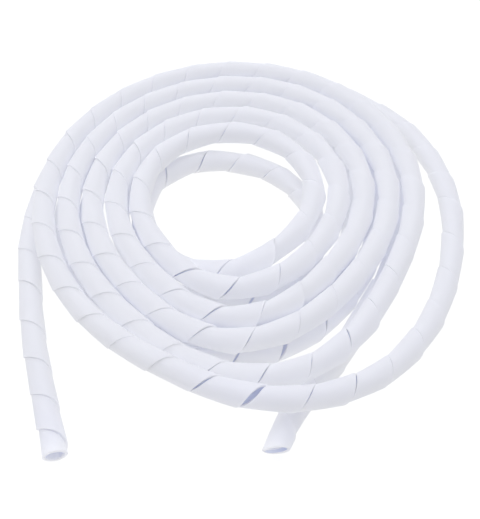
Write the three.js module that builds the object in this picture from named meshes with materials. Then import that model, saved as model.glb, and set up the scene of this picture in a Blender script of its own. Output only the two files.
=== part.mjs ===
// Spiral cable wrap: one long milky plastic tube with a helical slit, wound by hand into a loose
// flat coil two turns high, with both cut ends lying free on the floor.
// Millimetres, +Z up. The floor is z = 0 and the Z axis runs through the middle of the footprint.
// The front of the coil, where both ends lie, faces -Y.
import * as THREE from "three";

// Driving dimensions of the tube
const TUBE_OD = 10; // outside diameter, measured across the flats of the faceted section
const TUBE_WALL = 1.2; // wall of the strip that the helical slit leaves
const MOUTH_DEPTH = 3.5; // how deep the bore is cut into each end
const SECTION_SIDES = 8; // flats around the tube, one of them facing the floor

// Driving dimensions of the coil
const TURN_GAP = 0.4; // clearance between a turn and the turns beside it and under it
const STEP_ANGLE = 15; // degrees of coil from one section to the next
const LOWER_FIRST_ANGLE = -45; // where the front end has joined the lower layer
const LOWER_LAST_ANGLE = 990; // where the lower layer lets go of the loose inner turn
const UPPER_FIRST_ANGLE = 1380; // where the loose inner turn has climbed onto the upper layer
const UPPER_LAST_ANGLE = 3060; // where the upper layer lets go of the loose outer turn

// One spacing is the distance from the middle of a turn to the middle of its neighbour.
// Every place on the route is given in spacings from the middle of the hole, so the coil grows
// with the tube.
const SPACING = TUBE_OD + TURN_GAP;
const FULL_TURN = 360;

// Front end: x and y in spacings, on the floor, from its open mouth to the lower layer.
const FRONT_END_POINTS = [
  [1.5, -12.1],
  [1.82, -11.3],
  [2.24, -10.45],
  [2.87, -9.56],
  [3.72, -8.45],
  [4.5, -7.25],
];

// Loose inner turn: angle, radius in spacings and level, which is 0 on the floor and 1 on a turn.
const INNER_TURN_POINTS = [
  [1005, 5.3, 0],
  [1020, 4.95, 0],
  [1035, 4.5, 0],
  [1050, 4.01, 0],
  [1065, 3.61, 0],
  [1080, 3.37, 0],
  [1095, 3.07, 0],
  [1110, 2.87, 0],
  [1125, 2.77, 0],
  [1140, 2.72, 0],
  [1155, 2.72, 0],
  [1170, 2.82, 0],
  [1185, 3.02, 0],
  [1200, 3.27, 0],
  [1215, 3.52, 0],
  [1230, 3.76, 0],
  [1245, 3.92, 0],
  [1260, 4.02, 0],
  [1275, 4.08, 0],
  [1290, 4.12, 0],
  [1305, 4.18, 0.03],
  [1320, 4.05, 0.1],
  [1335, 4.1, 0.35],
  [1350, 4.14, 0.7],
  [1365, 4.0, 0.94],
];

// Loose outer turn: over the front end, out to the right, and down onto the floor.
const OUTER_TURN_POINTS = [
  [3075, 8.27, 1],
  [3090, 8.42, 1],
  [3105, 8.67, 1.02],
  [3120, 9.06, 1.2],
  [3135, 9.66, 1.46],
  [3150, 10.45, 1.44],
  [3165, 10.88, 1.2],
  [3180, 10.8, 0.86],
  [3195, 10.3, 0.42],
  [3210, 9.86, 0.1],
  [3225, 9.62, 0],
  [3240, 9.59, 0],
  [3255, 9.6, 0],
  [3270, 9.59, 0],
  [3285, 9.36, 0],
  [3300, 9.24, 0],
  [3315, 9.22, 0],
  [3330, 9.2, 0],
  [3345, 9.08, 0],
  [3360, 8.94, 0],
  [3375, 8.8, 0],
  [3390, 8.68, 0],
  [3405, 8.66, 0],
  [3420, 8.7, 0],
];

// Left end: x and y in spacings, on the floor, from the outer turn to its open mouth.
const LEFT_END_POINTS = [
  [-8.74, -2.2],
  [-8.44, -4.2],
  [-8.12, -5.95],
  [-7.7, -7.7],
  [-7.28, -9.12],
  [-6.86, -10.5],
  [-6.52, -11.55],
  [-6.3, -12.35],
];

const radians = (degrees) => THREE.MathUtils.degToRad(degrees);

// Radius of the lower layer, wound from the outside inwards.
function lowerRadius(angle) {
  const a = radians(angle);
  const outline = 8.53 - 0.26 * Math.cos(a) - 0.23 * Math.sin(a) - 0.42 * Math.cos(2 * a);
  const turns = (angle - LOWER_FIRST_ANGLE) / FULL_TURN;
  const drawnIn = bulge(angle, 130, 3, 0.5) + bulge(angle, -40, 8, 0.7) + 0.7 * pastTurn(turns, 2.5);
  return outline - drawnIn - 1.035 * turns;
}

// Radius of the upper layer, wound from the inside outwards. Its turns dip and spread at the front,
// and its last turn sags away from the others there, which leaves the wider gap that shows.
function upperRadius(angle) {
  const a = radians(angle);
  const turns = (angle - UPPER_FIRST_ANGLE) / FULL_TURN;
  const hole = 3.29 - 0.05 * Math.cos(a) + bulge(angle, -88, 7, 0.64 + 0.2 * pastTurn(turns, 0.4));
  const dip = bulge(angle, -95, 30, 0.25 * pastTurn(turns, 0.4));
  const spread = bulge(angle, -85, 20, 0.4 * pastTurn(turns, 1.4));
  const sag = bulge(angle, -70, 20, 0.85 * pastTurn(turns, 3.4));
  const pitch = 1.1 + 0.035 * Math.cos(a) + 0.035 * Math.sin(a) - 0.021 * Math.cos(2 * a);
  const closer = bulge(angle, 125, 5, 0.045) + bulge(angle, -35, 6, 0.045);
  return hole + dip + spread + sag + (pitch - closer) * turns;
}

// A rounded swelling of the outline around one direction: the higher the focus, the narrower.
function bulge(angle, direction, focus, amount) {
  const away = Math.sin(radians(angle - direction) / 2);
  return amount * Math.exp(-focus * away * away);
}

// 0 before the given turn, 1 soon after it.
const pastTurn = (turns, turn) => THREE.MathUtils.smoothstep(turns, turn, turn + 0.3);

const heightAt = (level) => TUBE_OD / 2 + level * SPACING;

function polarPoint(angle, radius, level) {
  const r = radius * SPACING;
  return new THREE.Vector3(r * Math.cos(radians(angle)), r * Math.sin(radians(angle)), heightAt(level));
}

const floorPoint = ([x, y]) => new THREE.Vector3(x * SPACING, y * SPACING, heightAt(0));

// Middle line of the tube, from the front mouth to the left mouth.
function routePoints() {
  const points = FRONT_END_POINTS.map(floorPoint);
  for (let angle = LOWER_FIRST_ANGLE; angle <= LOWER_LAST_ANGLE; angle += STEP_ANGLE) {
    points.push(polarPoint(angle, lowerRadius(angle), 0));
  }
  points.push(...INNER_TURN_POINTS.map((place) => polarPoint(...place)));
  for (let angle = UPPER_FIRST_ANGLE; angle <= UPPER_LAST_ANGLE; angle += STEP_ANGLE) {
    points.push(polarPoint(angle, upperRadius(angle), 1));
  }
  points.push(...OUTER_TURN_POINTS.map((place) => polarPoint(...place)));
  points.push(...LEFT_END_POINTS.map(floorPoint));
  return points;
}

// Directions of one section: along the tube, to its side and upwards.
function sectionFrame(points, index) {
  const before = points[Math.max(index - 1, 0)];
  const after = points[Math.min(index + 1, points.length - 1)];
  const along = after.clone().sub(before).normalize();
  const side = along.clone().cross(new THREE.Vector3(0, 0, 1)).normalize();
  const up = side.clone().cross(along);
  return { along, side, up };
}

// Corners of one section, with the given distance from the middle to its flats.
function sectionCorners(centre, frame, halfAcrossFlats) {
  const cornerRadius = halfAcrossFlats / Math.cos(Math.PI / SECTION_SIDES);
  const corners = [];
  for (let k = 0; k < SECTION_SIDES; k += 1) {
    const turn = ((2 * k + 1) * Math.PI) / SECTION_SIDES - Math.PI / 2;
    const corner = centre.clone();
    corner.addScaledVector(frame.side, cornerRadius * Math.cos(turn));
    corner.addScaledVector(frame.up, cornerRadius * Math.sin(turn));
    corners.push(corner);
  }
  return corners;
}

// The tube is a chain of sections: bore floor, bore mouth, the outside from end to end, then the
// other mouth and its bore floor. Both bore floors are closed, so the whole is one solid.
function tubeSections(points) {
  const last = points.length - 1;
  const outer = TUBE_OD / 2;
  const bore = outer - TUBE_WALL;
  const first = sectionFrame(points, 0);
  const final = sectionFrame(points, last);
  const boreFloorFirst = points[0].clone().addScaledVector(first.along, MOUTH_DEPTH);
  const boreFloorLast = points[last].clone().addScaledVector(final.along, -MOUTH_DEPTH);
  return [
    sectionCorners(boreFloorFirst, first, bore),
    sectionCorners(points[0], first, bore),
    ...points.map((point, index) => sectionCorners(point, sectionFrame(points, index), outer)),
    sectionCorners(points[last], final, bore),
    sectionCorners(boreFloorLast, final, bore),
  ];
}

function tubeGeometry(points) {
  const sections = tubeSections(points);
  const positions = sections.flat().flatMap((corner) => corner.toArray());
  const triangles = [];
  for (let s = 0; s + 1 < sections.length; s += 1) {
    for (let k = 0; k < SECTION_SIDES; k += 1) {
      const a = s * SECTION_SIDES + k;
      const b = s * SECTION_SIDES + ((k + 1) % SECTION_SIDES);
      triangles.push(a, b + SECTION_SIDES, b, a, a + SECTION_SIDES, b + SECTION_SIDES);
    }
  }
  const lastRing = (sections.length - 1) * SECTION_SIDES;
  for (let k = 1; k + 1 < SECTION_SIDES; k += 1) {
    triangles.push(0, k, k + 1);
    triangles.push(lastRing, lastRing + k + 1, lastRing + k);
  }
  const geometry = new THREE.BufferGeometry();
  geometry.setAttribute("position", new THREE.Float32BufferAttribute(positions, 3));
  geometry.setIndex(triangles);
  geometry.computeVertexNormals();
  return geometry;
}

const milkyPlastic = new THREE.MeshStandardMaterial({ color: 0xeeeef8, roughness: 0.4, metalness: 0 });

const wrap = new THREE.Mesh(tubeGeometry(routePoints()), milkyPlastic);
wrap.name = "spiral_wrap_tube";
wrap.geometry.computeBoundingBox();
const footprintMiddle = wrap.geometry.boundingBox.getCenter(new THREE.Vector3()).setZ(0);
wrap.position.copy(footprintMiddle).negate();

const cableWrap = new THREE.Group();
cableWrap.add(wrap);

export default cableWrap;
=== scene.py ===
import math

import bmesh
import bpy
import numpy as np
from bpy.props import FloatProperty, FloatVectorProperty, IntProperty, PointerProperty
from bpy.types import Operator, Panel, PropertyGroup
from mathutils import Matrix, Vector


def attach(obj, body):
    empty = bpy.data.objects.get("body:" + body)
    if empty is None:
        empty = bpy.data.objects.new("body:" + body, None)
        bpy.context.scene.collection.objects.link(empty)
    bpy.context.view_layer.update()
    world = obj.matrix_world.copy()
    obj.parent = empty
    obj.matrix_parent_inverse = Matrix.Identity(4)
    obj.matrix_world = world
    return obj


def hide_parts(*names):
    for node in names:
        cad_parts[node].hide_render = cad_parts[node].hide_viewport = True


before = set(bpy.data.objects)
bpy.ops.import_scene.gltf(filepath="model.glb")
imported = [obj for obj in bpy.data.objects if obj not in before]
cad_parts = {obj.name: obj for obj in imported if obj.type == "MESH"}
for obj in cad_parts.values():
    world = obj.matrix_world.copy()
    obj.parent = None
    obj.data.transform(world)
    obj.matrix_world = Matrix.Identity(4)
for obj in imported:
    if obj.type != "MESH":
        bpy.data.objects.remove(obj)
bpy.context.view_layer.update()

bl_info = {
    "name": "Spiral cable wrap",
    "version": (1, 0, 0),
    "blender": (4, 5, 0),
    "location": "View3D > Sidebar > Cable wrap",
    "description": "Winds a loose coil of milky spiral cable wrap and lights it on a pale floor",
    "category": "Add Mesh",
}

NODE = "spiral_wrap_tube"
MM = 0.001

# The route of the tube repeats the solid's own: angles in degrees, places in spacings.
TUBE_OD = 10 * MM
TURN_GAP = 0.4 * MM
SPACING = TUBE_OD + TURN_GAP
STEP_ANGLE = 15
FULL_TURN = 360
LOWER_FIRST_ANGLE = -45
LOWER_LAST_ANGLE = 990
UPPER_FIRST_ANGLE = 1380
UPPER_LAST_ANGLE = 3060

# How many parts the smooth line has between one station of the route and the next
LINE_PARTS = 16

# Front end: x and y, on the floor, from its open mouth to the lower layer.
FRONT_END_POINTS = (
    (1.5, -12.1), (1.82, -11.3), (2.24, -10.45), (2.87, -9.56), (3.72, -8.45), (4.5, -7.25),
)

# Loose inner turn: angle, radius and level, which is 0 on the floor and 1 on a turn.
INNER_TURN_POINTS = (
    (1005, 5.3, 0), (1020, 4.95, 0), (1035, 4.5, 0), (1050, 4.01, 0), (1065, 3.61, 0),
    (1080, 3.37, 0), (1095, 3.07, 0), (1110, 2.87, 0), (1125, 2.77, 0), (1140, 2.72, 0),
    (1155, 2.72, 0), (1170, 2.82, 0), (1185, 3.02, 0), (1200, 3.27, 0), (1215, 3.52, 0),
    (1230, 3.76, 0), (1245, 3.92, 0), (1260, 4.02, 0), (1275, 4.08, 0), (1290, 4.12, 0),
    (1305, 4.18, 0.03), (1320, 4.05, 0.1), (1335, 4.1, 0.35), (1350, 4.14, 0.7),
    (1365, 4.0, 0.94),
)

# Loose outer turn: over the front end, out to the right, and down onto the floor.
OUTER_TURN_POINTS = (
    (3075, 8.27, 1), (3090, 8.42, 1), (3105, 8.67, 1.02), (3120, 9.06, 1.2), (3135, 9.66, 1.46),
    (3150, 10.45, 1.44), (3165, 10.88, 1.2), (3180, 10.8, 0.86), (3195, 10.3, 0.42),
    (3210, 9.86, 0.1), (3225, 9.62, 0), (3240, 9.59, 0), (3255, 9.6, 0), (3270, 9.59, 0),
    (3285, 9.36, 0), (3300, 9.24, 0), (3315, 9.22, 0), (3330, 9.2, 0), (3345, 9.08, 0),
    (3360, 8.94, 0), (3375, 8.8, 0), (3390, 8.68, 0), (3405, 8.66, 0), (3420, 8.7, 0),
)

# Left end: x and y, on the floor, from the outer turn to its open mouth.
LEFT_END_POINTS = (
    (-8.74, -2.2), (-8.44, -4.2), (-8.12, -5.95), (-7.7, -7.7), (-7.28, -9.12), (-6.86, -10.5),
    (-6.52, -11.55), (-6.3, -12.35),
)

# Slits that show in the photograph, listed strand by strand from end to end: the stretch of
# the tube that the strand is, in mm, then each slit's pixel and its opening in mm.
SEEN_SLITS = (
    (0, 60, ((290, 425, 0.35),)),
    (480, 640, (
        (189, 353, 0.5), (235, 357, 0.9), (284, 349, 1.9), (328, 329, 1.0), (365, 300, 0.8),
        (389, 267, 0.4),
    )),
    (1400, 1500, ((306, 188, 0.24), (276, 166, 0.21), (235, 165, 0.24), (204, 168, 0.18))),
    (1500, 1700, ((146, 238, 0.24), (182, 258, 0.18), (222, 266, 0.24), (316, 186, 0.18))),
    (1800, 1900, ((182, 284, 0.4), (231, 293, 0.4), (280, 283, 0.4))),
    (2560, 2640, ((247, 338, 0.4), (300, 330, 0.3))),
    (3050, 3180, (
        (265, 380, 0.5), (308, 369, 0.3), (350, 347, 0.7), (383, 320, 0.6), (405, 285, 0.5),
    )),
    (3580, 3840, (
        (205, 381, 0.9), (254, 400, 2.4), (305, 402, 0.5), (350, 387, 0.7), (387, 370, 0.4),
        (414, 341, 0.4), (440, 313, 0.35), (448, 276, 0.35), (457, 242, 0.4), (450, 202, 0.5),
        (445, 176, 0.35),
    )),
    (3900, 4125, (
        (272, 68, 0.18), (230, 62, 0.18), (160, 80, 0.2), (125, 97, 0.18), (62, 142, 0.18),
        (42, 165, 0.2), (30, 195, 0.18), (25, 225, 0.2), (22, 258, 0.18),
    )),
    (4125, 4220, (
        (25, 290, 0.15), (31, 330, 0.15), (37, 366, 0.15), (43, 403, 0.15), (49, 436, 0.15),
    )),
)

# Turns of the helix that run on past the first and the last of these slits
SPARE_TURNS = 3
# How far along the helix a slit's own opening reaches, in turns
OPENING_REACH = 0.22
# Random wandering of the slit to and fro along the tube
SLIT_WANDER = 0.3 * MM
# Shortest width at which the strip still counts, where a cut end narrows it
NARROWEST_STRIP = 0.3 * MM
# Random unevenness of the tube's radius
RADIUS_WANDER = 0.06 * MM
# Stretch of the left end in which the strip curls tighter
CURL_RUN = 18 * MM
# Lowest height of any corner, just clear of the floor
FLOOR_CLEARANCE = 0.05 * MM
# Share of the strip's width that lies at the tube's true radius, between its low and proud edges
LEVEL_SHARE = 0.7

# Where each end is cut, in mm: how far from the solid's end the cut crosses the middle line, how
# far its top leans forwards, and how far its outward side does.
FRONT_CUT = (1.35, 1.0, -2.1)
LEFT_CUT = (1.6, 0.6, 0.0)


class WrapSizes(PropertyGroup):
    """Sizes of the slit tube."""

    wall: FloatProperty(
        name="Wall", description="Thickness of the strip", default=1.2 * MM, unit="LENGTH"
    )
    helix_pitch: FloatProperty(
        name="Helix pitch", description="Usual distance from one slit to the next",
        default=19 * MM, unit="LENGTH",
    )
    slit: FloatProperty(
        name="Slit", description="Usual opening of the slit", default=0.06 * MM, unit="LENGTH"
    )
    slit_variation: FloatProperty(
        name="Slit variation", description="How much the opening wanders", default=0.05 * MM,
        unit="LENGTH",
    )
    edge_lift: FloatProperty(
        name="Edge lift", description="How far one edge of the strip stands out past the other",
        default=0.5 * MM, unit="LENGTH",
    )
    edge_break: FloatProperty(
        name="Edge break", description="Chamfer on the outer corners of the strip",
        default=0.15 * MM, unit="LENGTH",
    )
    end_curl: FloatProperty(
        name="End curl", description="How much narrower the strip curls at the left end",
        default=0.12, min=0, max=0.4, subtype="FACTOR",
    )
    straightness: FloatProperty(
        name="Straightness", description="How straight each winding of the strip stays in a bend",
        default=0.6, min=0, max=1, subtype="FACTOR",
    )
    sections_per_turn: IntProperty(
        name="Sections per turn", description="Sections of the strip in one turn of its helix",
        default=32, min=12, max=40,
    )


class WrapFinish(PropertyGroup):
    """Colours of the milky plastic, with its painted shade and painted highlight, and of the floor.
    """

    plastic: FloatVectorProperty(
        name="Plastic", description="Colour of the milky plastic", size=3, subtype="COLOR",
        default=(0.99, 0.991, 0.999),
    )
    # Darker, bluer tint that random haze mixes into the plastic: partly the plastic's own uneven
    # milkiness, partly painted shade standing in for the blue shade between lighter bands.
    haze_and_shade_tint: FloatVectorProperty(
        name="Depth tint", description="Colour of the thicker, hazier streaks", size=3,
        subtype="COLOR", default=(0.955, 0.963, 0.995),
    )
    # Painted highlight: the cut edges and their chamfers take this paler colour in place of the
    # haze, standing in for the bright lines along the slits.
    edge_highlight: FloatVectorProperty(
        name="Cut edge", description="Colour of the slit's paler cut edges", size=3,
        subtype="COLOR", default=(0.985, 0.985, 0.998),
    )
    # Painted shade: the tube's inside is painted this dim blue, where little light reaches, so the
    # slits read dark.
    bore_shade: FloatVectorProperty(
        name="Bore", description="Colour of the tube's inside, where light arrives blue and dim",
        size=3, subtype="COLOR", default=(0.64, 0.69, 0.92),
    )
    floor: FloatVectorProperty(
        name="Floor", description="Colour of the floor", size=3, subtype="COLOR",
        default=(0.35, 0.35, 0.35),
    )


class StudioSettings(PropertyGroup):
    """Camera and light."""

    elevation: FloatProperty(
        name="Elevation", description="Camera's height above the horizon",
        default=math.radians(50), subtype="ANGLE",
    )
    distance: FloatProperty(
        name="Distance", description="Camera to the point it looks at", default=400 * MM,
        unit="LENGTH",
    )
    focal_pixels: FloatProperty(
        name="Focal length", description="Focal length in pixels of the picture", default=895
    )
    light_colour: FloatVectorProperty(
        name="Light colour", description="Colour of the even light and of the soft top light",
        size=3, subtype="COLOR", default=(0.875, 0.892, 1.0),
    )
    sky: FloatProperty(name="Sky", description="Strength of the even light", default=0.69)
    key: FloatProperty(name="Key", description="Power of the soft top light", default=6.6)
    floor_glow: FloatProperty(
        name="Floor glow", description="How brightly the floor itself shows", default=0.78
    )
    floor_light: FloatProperty(
        name="Floor light", description="Light that comes up from the floor to the coil",
        default=0.55,
    )


# Pixels of the picture
PICTURE_WIDTH = 480
PICTURE_HEIGHT = 519
SENSOR_WIDTH = 36.0
# Point that the camera looks at, from the middle of the hole
CAMERA_TARGET = (2.6 * MM, -27.5 * MM)

# The floor reaches this far to each side, past what the camera sees.
FLOOR_REACH = 3
TOP_LIGHT_PLACE = (-0.15, 0.35, 0.9)
TOP_LIGHT_WIDTH = 1.6
# Milky plastic hands light on many times before the light is lost.
LIGHT_BOUNCES = 64
# The photograph is high-key, with its middle tones lifted.
TONE_GAMMA = 1.5


def bulge(angle, direction, focus, amount):
    """A swelling of the outline around one direction: the higher the focus, the narrower."""
    away = math.sin(math.radians(angle - direction) / 2)
    return amount * math.exp(-focus * away * away)


def past_turn(turns, turn):
    """0 before the given turn, 1 soon after it."""
    x = min(max((turns - turn) / 0.3, 0), 1)
    return x * x * (3 - 2 * x)


def lower_radius(angle):
    """Radius of the lower layer, wound from the outside inwards."""
    a = math.radians(angle)
    outline = 8.53 - 0.26 * math.cos(a) - 0.23 * math.sin(a) - 0.42 * math.cos(2 * a)
    turns = (angle - LOWER_FIRST_ANGLE) / FULL_TURN
    drawn_in = bulge(angle, 130, 3, 0.5) + bulge(angle, -40, 8, 0.7) + 0.7 * past_turn(turns, 2.5)
    return outline - drawn_in - 1.035 * turns


def upper_radius(angle):
    """Radius of the upper layer, wound from the inside outwards."""
    a = math.radians(angle)
    turns = (angle - UPPER_FIRST_ANGLE) / FULL_TURN
    hole = 3.29 - 0.05 * math.cos(a) + bulge(angle, -88, 7, 0.64 + 0.2 * past_turn(turns, 0.4))
    dip = bulge(angle, -95, 30, 0.25 * past_turn(turns, 0.4))
    spread = bulge(angle, -85, 20, 0.4 * past_turn(turns, 1.4))
    sag = bulge(angle, -70, 20, 0.85 * past_turn(turns, 3.4))
    pitch = 1.1 + 0.035 * math.cos(a) + 0.035 * math.sin(a) - 0.021 * math.cos(2 * a)
    closer = bulge(angle, 125, 5, 0.045) + bulge(angle, -35, 6, 0.045)
    return hole + dip + spread + sag + (pitch - closer) * turns


def polar_point(angle, radius, level):
    """A place from its angle, its radius in spacings and its level."""
    a = math.radians(angle)
    height = TUBE_OD / 2 + level * SPACING
    return (radius * SPACING * math.cos(a), radius * SPACING * math.sin(a), height)


def stations():
    """Middle line of the tube at the solid's own sections, from the front mouth to the left one."""
    points = [(x * SPACING, y * SPACING, TUBE_OD / 2) for x, y in FRONT_END_POINTS]
    for angle in range(LOWER_FIRST_ANGLE, LOWER_LAST_ANGLE + 1, STEP_ANGLE):
        points.append(polar_point(angle, lower_radius(angle), 0))
    points += [polar_point(*place) for place in INNER_TURN_POINTS]
    for angle in range(UPPER_FIRST_ANGLE, UPPER_LAST_ANGLE + 1, STEP_ANGLE):
        points.append(polar_point(angle, upper_radius(angle), 1))
    points += [polar_point(*place) for place in OUTER_TURN_POINTS]
    points += [(x * SPACING, y * SPACING, TUBE_OD / 2) for x, y in LEFT_END_POINTS]
    return np.array(points)


def footprint_middle(points):
    """Middle of the solid's footprint, which is the frame's origin."""
    along = np.gradient(points, axis=0)
    side = np.cross(along, (0, 0, 1))
    side /= np.linalg.norm(side, axis=1)[:, None]
    reach = np.abs(side) * TUBE_OD / 2
    low = (points - reach).min(axis=0)
    high = (points + reach).max(axis=0)
    return np.array(((low[0] + high[0]) / 2, (low[1] + high[1]) / 2, 0))


def smooth_line(points, parts):
    """A curve through the points, with the given number of parts between one and the next."""
    p = np.vstack((2 * points[0] - points[1], points, 2 * points[-1] - points[-2]))
    a, b, c, d = (p[k : len(p) - 3 + k, None] for k in range(4))
    t = (np.arange(parts) / parts)[None, :, None]
    straight = 2 * b + (c - a) * t
    curved = (2 * a - 5 * b + 4 * c - d) * t**2 + (3 * b - a - 3 * c + d) * t**3
    line = 0.5 * (straight + curved)
    return np.vstack((line.reshape(-1, 3), points[-1]))


class Route:
    """The middle line of the tube, with its directions, read by the distance along it."""

    def __init__(self):
        points = stations()
        self.middle = footprint_middle(points)
        self.line = smooth_line(points - self.middle, LINE_PARTS)
        steps = np.linalg.norm(np.diff(self.line, axis=0), axis=1)
        self.along = np.concatenate(((0,), np.cumsum(steps)))
        self.length = self.along[-1]
        tangent = np.gradient(self.line, axis=0)
        self.tangent = tangent / np.linalg.norm(tangent, axis=1)[:, None]

    def read(self, values, distance):
        return np.stack([np.interp(distance, self.along, values[:, k]) for k in range(3)], axis=-1)

    def beyond(self, distance):
        """How far a distance lies past an end: below 0 before the first, above 0 after the last."""
        return distance - np.clip(distance, 0, self.length)

    def frame_at(self, distance):
        """Place, direction along, side and up at the given distances."""
        tangent = self.read(self.tangent, distance)
        tangent /= np.linalg.norm(tangent, axis=-1)[..., None]
        side = np.cross(tangent, (0, 0, 1))
        side /= np.linalg.norm(side, axis=-1)[..., None]
        place = self.read(self.line, distance) + tangent * self.beyond(distance)[..., None]
        return place, tangent, side, np.cross(side, tangent)


def wandering(count, step, seed):
    """A smooth random line between -1 and 1, with a new value every so many sections."""
    rng = np.random.default_rng(seed)
    knots = rng.uniform(-1, 1, count // step + 3)
    x = np.arange(count) / step
    k = x.astype(int)
    t = x - k
    t = t * t * (3 - 2 * t)
    return knots[k] * (1 - t) + knots[k + 1] * t


def camera_place(studio, middle):
    """Where the camera stands."""
    target = np.array((*CAMERA_TARGET, 0)) - middle
    back = np.array((0, -math.cos(studio.elevation), math.sin(studio.elevation)))
    return target + back * studio.distance


def pixels(places, studio, middle):
    """Where places show in the picture, from its top left corner."""
    ray = places - camera_place(studio, middle)
    ahead = (0, math.cos(studio.elevation), -math.sin(studio.elevation))
    upwards = (0, math.sin(studio.elevation), math.cos(studio.elevation))
    scale = studio.focal_pixels / (ray @ ahead)
    x = PICTURE_WIDTH / 2 + ray[:, 0] * scale
    y = PICTURE_HEIGHT / 2 - (ray @ upwards) * scale
    return np.stack((x, y), axis=1)


def seen_slits(route, sizes, studio):
    """Turn of the helix, distance along the tube and opening of each slit that shows."""
    shown = pixels(route.line, studio, route.middle)
    camera = camera_place(studio, route.middle)
    turns, places, openings = [], [], []
    for first, last, slits in SEEN_SLITS:
        strand = np.flatnonzero((route.along >= first * MM) & (route.along <= last * MM))
        for x, y, opening in slits:
            away = np.hypot(*(shown[strand] - (x, y)).T)
            distance = route.along[strand[away.argmin()]]
            place, _, side, up = route.frame_at(distance)
            facing = math.atan2((camera - place) @ up, (camera - place) @ side) / (2 * math.pi)
            if turns:
                passed = (distance - places[-1]) / sizes.helix_pitch
                turns.append(facing + round(turns[-1] + passed - facing))
            else:
                turns.append(facing)
            places.append(distance)
            openings.append(opening * MM)
    return turns, places, openings


def slit_places(route, sizes, studio):
    """Turn of the helix, distance along the tube and opening of the slit, from end to end."""
    turns, places, openings = seen_slits(route, sizes, studio)
    per_turn = sizes.sections_per_turn
    known = [turns[0] - SPARE_TURNS, *turns, turns[-1] + SPARE_TURNS]
    run = SPARE_TURNS * sizes.helix_pitch
    count = int((known[-1] - known[0]) * per_turn)
    turn = known[0] + np.arange(count) / per_turn
    distance = np.interp(turn, known, [places[0] - run, *places, places[-1] + run])
    window = np.ones(per_turn) / per_turn
    middle = slice(per_turn // 2, count - per_turn // 2)
    distance[middle] = np.convolve(distance, window, "same")[middle]
    distance += SLIT_WANDER * wandering(count, 2 * per_turn, seed=3)
    opening = sizes.slit + sizes.slit_variation * wandering(count, per_turn, seed=7)
    for known_turn, known_opening in zip(turns, openings):
        near = np.exp(-(((turn - known_turn) / OPENING_REACH) ** 2))
        opening += near * (known_opening - opening)
    return turn, distance, opening


# Across the strip, from one edge to the other over the outside and back over the bore:
# share of its width, edge break inwards, 1 on the outside or 0 in the bore, 1 where lowered.
STRIP_COLUMNS = (
    (0, 0, 1, 1), (0, 1, 1, 0), (0.25, 0, 1, 0), (0.5, 0, 1, 0), (0.75, 0, 1, 0), (1, -1, 1, 0),
    (1, 0, 1, 1), (1, 0, 0, 0), (0.5, 0, 0, 0), (0, 0, 0, 0), (0, 0, 1, 1),
)
SHARP_COLUMNS = (0, 1, 5, 6, 7, 9)


def strip_points(route, sizes, studio):
    """Places of the strip's corners, one row for each section."""
    turn, distance, opening = slit_places(route, sizes, studio)
    per_turn = sizes.sections_per_turn
    low = (distance + opening / 2)[:-per_turn]
    high = (distance - opening / 2)[per_turn:]
    turn = turn[:-per_turn]
    angle = 2 * math.pi * turn
    out_share, up_share = np.cos(angle), np.sin(angle)
    place, lean, skew = (value * MM for value in FRONT_CUT)
    first = place - lean * up_share - skew * out_share
    place, lean, skew = (value * MM for value in LEFT_CUT)
    last = route.length - place + lean * up_share + skew * out_share
    low = np.maximum(low, first)
    high = np.minimum(high, last)
    inside = high - low > NARROWEST_STRIP
    low, high, out_share, up_share = (v[inside] for v in (low, high, out_share, up_share))
    count = len(low)
    width = high - low
    centre = (low + high) / 2
    lift = sizes.edge_lift * (0.8 + 0.4 * wandering(count, 40, seed=11))
    uneven = RADIUS_WANDER * wandering(count, 9, seed=5)
    end = np.clip(1 - (route.length - centre) / CURL_RUN, 0, 1)
    curl = 1 - sizes.end_curl * end * end
    rows = np.empty((count, len(STRIP_COLUMNS), 3))
    place, tangent, _, _ = route.frame_at(centre)
    for column, (share, corner, outside, lowered) in enumerate(STRIP_COLUMNS):
        across = low + share * width + corner * np.minimum(sizes.edge_break, width / 4)
        bent, _, side, up = route.frame_at(across)
        straight = place + tangent * (across - centre)[:, None]
        middle = bent + (straight - bent) * sizes.straightness
        r = TUBE_OD / 2 - (1 - outside) * sizes.wall - lowered * sizes.edge_break
        r = (r + uneven + lift * (share - LEVEL_SHARE)) * curl
        rows[:, column] = middle + (side * out_share[:, None] + up * up_share[:, None]) * r[:, None]
    rows[..., 2] = np.maximum(rows[..., 2], FLOOR_CLEARANCE)
    return rows, centre


def strip_mesh(name, rows, distance):
    """One closed mesh from a grid that is bent round the helix and joined at its long edges."""
    sections, columns = rows.shape[:2]
    bm = bmesh.new()
    bmesh.ops.create_grid(bm, x_segments=sections - 1, y_segments=columns - 1, size=1)
    uv = bm.loops.layers.uv.new("strip")
    cells = {}
    for vert in bm.verts:
        i = round((vert.co.x + 1) / 2 * (sections - 1))
        j = round((vert.co.y + 1) / 2 * (columns - 1))
        cells[vert] = (i, j)
    for face in bm.faces:
        face.smooth = True
        for loop in face.loops:
            i, j = cells[loop.vert]
            loop[uv].uv = (distance[i] / TUBE_OD, j / (columns - 1))
    for edge in bm.edges:
        (i0, j0), (i1, j1) = (cells[v] for v in edge.verts)
        if i0 != i1 and j0 % (columns - 1) in SHARP_COLUMNS:
            edge.smooth = False
    for vert, (i, j) in cells.items():
        vert.co = rows[i, j]
    seam = [vert for vert, (i, j) in cells.items() if j in (0, columns - 1)]
    bmesh.ops.remove_doubles(bm, verts=seam, dist=1e-7)
    rims = [edge for edge in bm.edges if edge.is_boundary]
    bmesh.ops.holes_fill(bm, edges=rims, sides=columns)
    bmesh.ops.recalc_face_normals(bm, faces=bm.faces)
    mesh = bpy.data.meshes.new(name)
    bm.to_mesh(mesh)
    bm.free()
    return mesh


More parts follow.
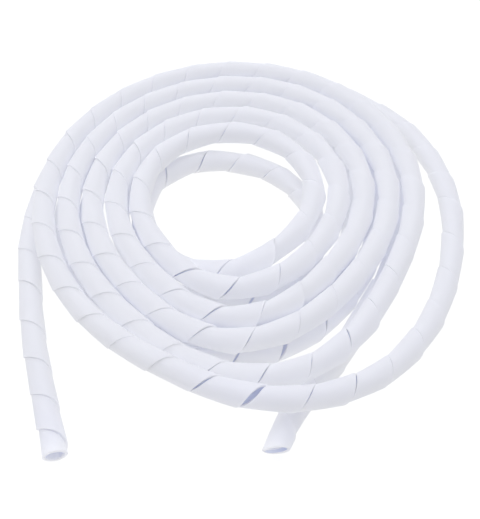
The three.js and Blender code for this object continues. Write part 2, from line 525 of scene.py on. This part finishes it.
def new_material(name):
    """A material with its tree and its one shader."""
    material = bpy.data.materials.new(name)
    material.use_nodes = True
    tree = material.node_tree
    tree.nodes.clear()
    output = tree.nodes.new("ShaderNodeOutputMaterial")
    shader = tree.nodes.new("ShaderNodeBsdfPrincipled")
    tree.links.new(shader.outputs["BSDF"], output.inputs["Surface"])
    return material, tree, shader


# Where the material changes across the strip, as shares of the way round its section: the low
# edge's chamfer ends, the proud cut edge starts, and the bore starts and ends. The edges and their
# chamfers take the painted highlight colour and the bore the painted shade. Each has the two
# values between which it fades.
LOW_EDGE_TO = (0.12, 0.08)
CUT_EDGE_FROM = (0.58, 0.62)
BORE_FROM = (0.69, 0.71)
BORE_TO = (0.91, 0.89)
# The last stretch of the left end lets more light into the bore, so the painted bore shade fades
# there to this share.
END_GLOW_RUN = 30 * MM
END_BORE_SHADE_SHARE = 0.35
# Size and look of the haze and of the extrusion's lengthwise lines
HAZE_SCALE = 70
LINE_SCALE = (0.35, 60, 1)
GLOSS_RANGE = (0.42, 0.6)
LINE_DEPTH = 0.1 * MM


def ramp(tree, value, between, result=(0, 1)):
    """A value that goes from one result to the other while the given value crosses a range."""
    node = tree.nodes.new("ShaderNodeMapRange")
    node.inputs["From Min"].default_value = between[0]
    node.inputs["From Max"].default_value = between[1]
    node.inputs["To Min"].default_value = result[0]
    node.inputs["To Max"].default_value = result[1]
    tree.links.new(value, node.inputs["Value"])
    return node.outputs["Result"]


def combined(tree, operation, first, second):
    """Two values made into one."""
    node = tree.nodes.new("ShaderNodeMath")
    node.operation = operation
    tree.links.new(first, node.inputs[0])
    tree.links.new(second, node.inputs[1])
    return node.outputs["Value"]


def mixed(tree, share, colour, other):
    """A colour from the tree, with a share of another, plain one."""
    node = tree.nodes.new("ShaderNodeMix")
    node.data_type = "RGBA"
    node.inputs["B"].default_value = (*other, 1)
    tree.links.new(share, node.inputs["Factor"])
    tree.links.new(colour, node.inputs["A"])
    return node.outputs["Result"]


def milky_plastic(finish, length):
    """Natural polyethylene: milky, softly glossy, with faint lines of the extrusion; a painted
    highlight on the cut edges, painted shade in the bore, and a random haze that is partly painted
    shade.
    """
    material, tree, shader = new_material("milky_plastic")
    link = tree.links.new
    uv = tree.nodes.new("ShaderNodeUVMap")
    uv.uv_map = "strip"
    place = tree.nodes.new("ShaderNodeTexCoord")

    haze = tree.nodes.new("ShaderNodeTexNoise")
    haze.inputs["Scale"].default_value = HAZE_SCALE
    haze.inputs["Detail"].default_value = 3
    link(place.outputs["Object"], haze.inputs["Vector"])

    # Random haze mixes in the darker tint: partly uneven milkiness, partly painted shade.
    tint = tree.nodes.new("ShaderNodeMix")
    tint.data_type = "RGBA"
    tint.inputs["A"].default_value = (*finish.plastic, 1)
    tint.inputs["B"].default_value = (*finish.haze_and_shade_tint, 1)
    link(haze.outputs["Fac"], tint.inputs["Factor"])

    split = tree.nodes.new("ShaderNodeSeparateXYZ")
    link(uv.outputs["UV"], split.inputs["Vector"])
    across = split.outputs["Y"]
    # Painted highlight: the cut edges and their chamfers take the paler colour.
    past_outside = ramp(tree, across, CUT_EDGE_FROM)
    before_outside = ramp(tree, across, LOW_EDGE_TO)
    edges = combined(tree, "MAXIMUM", past_outside, before_outside)
    with_edge_highlight = mixed(tree, edges, tint.outputs["Result"], finish.edge_highlight)
    # Painted shade: the bore takes the dim blue colour, less of it towards the left end.
    in_bore = combined(tree, "MULTIPLY", ramp(tree, across, BORE_FROM), ramp(tree, across, BORE_TO))
    left_end = ((length - END_GLOW_RUN) / TUBE_OD, length / TUBE_OD)
    bore_shade_fade = ramp(tree, split.outputs["X"], left_end, (1, END_BORE_SHADE_SHARE))
    bore_shade_share = combined(tree, "MULTIPLY", in_bore, bore_shade_fade)
    link(mixed(tree, bore_shade_share, with_edge_highlight, finish.bore_shade), shader.inputs["Base Color"])

    stretch = tree.nodes.new("ShaderNodeMapping")
    stretch.inputs["Scale"].default_value = LINE_SCALE
    link(uv.outputs["UV"], stretch.inputs["Vector"])
    lines = tree.nodes.new("ShaderNodeTexNoise")
    lines.inputs["Scale"].default_value = 1
    lines.inputs["Detail"].default_value = 2
    link(stretch.outputs["Vector"], lines.inputs["Vector"])
    link(ramp(tree, lines.outputs["Fac"], (0, 1), GLOSS_RANGE), shader.inputs["Roughness"])
    bump = tree.nodes.new("ShaderNodeBump")
    bump.inputs["Strength"].default_value = 0.12
    bump.inputs["Distance"].default_value = LINE_DEPTH
    link(lines.outputs["Fac"], bump.inputs["Height"])
    link(bump.outputs["Normal"], shader.inputs["Normal"])

    shader.inputs["IOR"].default_value = 1.51
    shader.inputs["Subsurface Weight"].default_value = 0.9
    shader.inputs["Subsurface Radius"].default_value = (1.0, 1.0, 1.0)
    shader.inputs["Subsurface Scale"].default_value = 4 * MM
    return material


def floor_paper(finish, glow, light):
    """Plain pale studio floor, which glows more to the camera than to the coil."""
    material, tree, shader = new_material("floor_paper")
    shader.inputs["Base Color"].default_value = (*finish.floor, 1)
    shader.inputs["Roughness"].default_value = 0.9
    shader.inputs["Specular IOR Level"].default_value = 0.1
    shader.inputs["Emission Color"].default_value = (1, 1, 1, 1)
    seen = tree.nodes.new("ShaderNodeLightPath").outputs["Is Camera Ray"]
    tree.links.new(ramp(tree, seen, (0, 1), (light, glow)), shader.inputs["Emission Strength"])
    return material


def add_object(name, data):
    """A new object in the scene, at the origin."""
    made = bpy.data.objects.new(name, data)
    bpy.context.scene.collection.objects.link(made)
    return made


class CABLEWRAP_OT_camera(Operator):
    """Place the camera that looks down on the coil from its front"""

    bl_idname = "cablewrap.camera"
    bl_label = "Camera"

    def execute(self, context):
        studio = context.scene.cable_wrap_studio
        place = camera_place(studio, footprint_middle(stations()))
        data = bpy.data.cameras.new("camera")
        data.sensor_width = SENSOR_WIDTH
        data.lens = studio.focal_pixels / PICTURE_HEIGHT * SENSOR_WIDTH
        data.clip_start = 0.01
        camera = add_object("camera", data)
        camera.location = place
        camera.rotation_euler = (math.pi / 2 - studio.elevation, 0, 0)
        context.scene.camera = camera
        return {"FINISHED"}


class CABLEWRAP_OT_tube(Operator):
    """Wind the slit strip along the coil's route, as one closed mesh"""

    bl_idname = "cablewrap.tube"
    bl_label = "Slit tube"

    def execute(self, context):
        sizes = context.scene.cable_wrap_sizes
        route = Route()
        rows, distance = strip_points(route, sizes, context.scene.cable_wrap_studio)
        tube = add_object("spiral_wrap_strip", strip_mesh("spiral_wrap_strip", rows, distance))
        tube.data.materials.append(milky_plastic(context.scene.cable_wrap_finish, route.length))
        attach(tube, "root")
        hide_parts(NODE)
        return {"FINISHED"}


class CABLEWRAP_OT_studio(Operator):
    """Lay the pale floor and hang the soft lights"""

    bl_idname = "cablewrap.studio"
    bl_label = "Studio"

    def execute(self, context):
        studio = context.scene.cable_wrap_studio
        bm = bmesh.new()
        bmesh.ops.create_grid(bm, x_segments=1, y_segments=1, size=FLOOR_REACH)
        mesh = bpy.data.meshes.new("floor")
        bm.to_mesh(mesh)
        bm.free()
        floor = add_object("floor", mesh)
        floor.data.materials.append(
            floor_paper(context.scene.cable_wrap_finish, studio.floor_glow, studio.floor_light)
        )

        world = bpy.data.worlds.new("studio")
        world.use_nodes = True
        background = world.node_tree.nodes["Background"]
        background.inputs["Color"].default_value = (*studio.light_colour, 1)
        background.inputs["Strength"].default_value = studio.sky
        context.scene.world = world

        light = bpy.data.lights.new("top_light", "AREA")
        light.shape = "DISK"
        light.size = TOP_LIGHT_WIDTH
        light.energy = studio.key
        light.color = studio.light_colour
        lamp = add_object("top_light", light)
        lamp.location = TOP_LIGHT_PLACE
        aim = -Vector(TOP_LIGHT_PLACE)
        lamp.rotation_euler = aim.to_track_quat("-Z", "Y").to_euler()
        context.scene.view_settings.view_transform = "Standard"
        context.scene.view_settings.gamma = TONE_GAMMA
        cycles = context.scene.cycles
        cycles.max_bounces = LIGHT_BOUNCES
        cycles.diffuse_bounces = LIGHT_BOUNCES
        return {"FINISHED"}


OPERATORS = (CABLEWRAP_OT_camera, CABLEWRAP_OT_tube, CABLEWRAP_OT_studio)


class CABLEWRAP_PT_panel(Panel):
    """Buttons and sizes of the cable wrap"""

    bl_label = "Cable wrap"
    bl_idname = "CABLEWRAP_PT_panel"
    bl_space_type = "VIEW_3D"
    bl_region_type = "UI"
    bl_category = "Cable wrap"

    def draw(self, context):
        for operator in OPERATORS:
            self.layout.operator(operator.bl_idname)
        for group in ("cable_wrap_sizes", "cable_wrap_finish", "cable_wrap_studio"):
            settings = getattr(context.scene, group)
            box = self.layout.box()
            for name in settings.__annotations__:
                box.prop(settings, name)


CLASSES = (WrapSizes, WrapFinish, StudioSettings, *OPERATORS, CABLEWRAP_PT_panel)


def register():
    for made in CLASSES:
        bpy.utils.register_class(made)
    bpy.types.Scene.cable_wrap_sizes = PointerProperty(type=WrapSizes)
    bpy.types.Scene.cable_wrap_finish = PointerProperty(type=WrapFinish)
    bpy.types.Scene.cable_wrap_studio = PointerProperty(type=StudioSettings)


def unregister():
    del bpy.types.Scene.cable_wrap_studio
    del bpy.types.Scene.cable_wrap_finish
    del bpy.types.Scene.cable_wrap_sizes
    for made in reversed(CLASSES):
        bpy.utils.unregister_class(made)


def main():
    register()
    bpy.ops.cablewrap.camera()
    bpy.ops.cablewrap.tube()
    bpy.ops.cablewrap.studio()


if __name__ == "__main__":
    main()
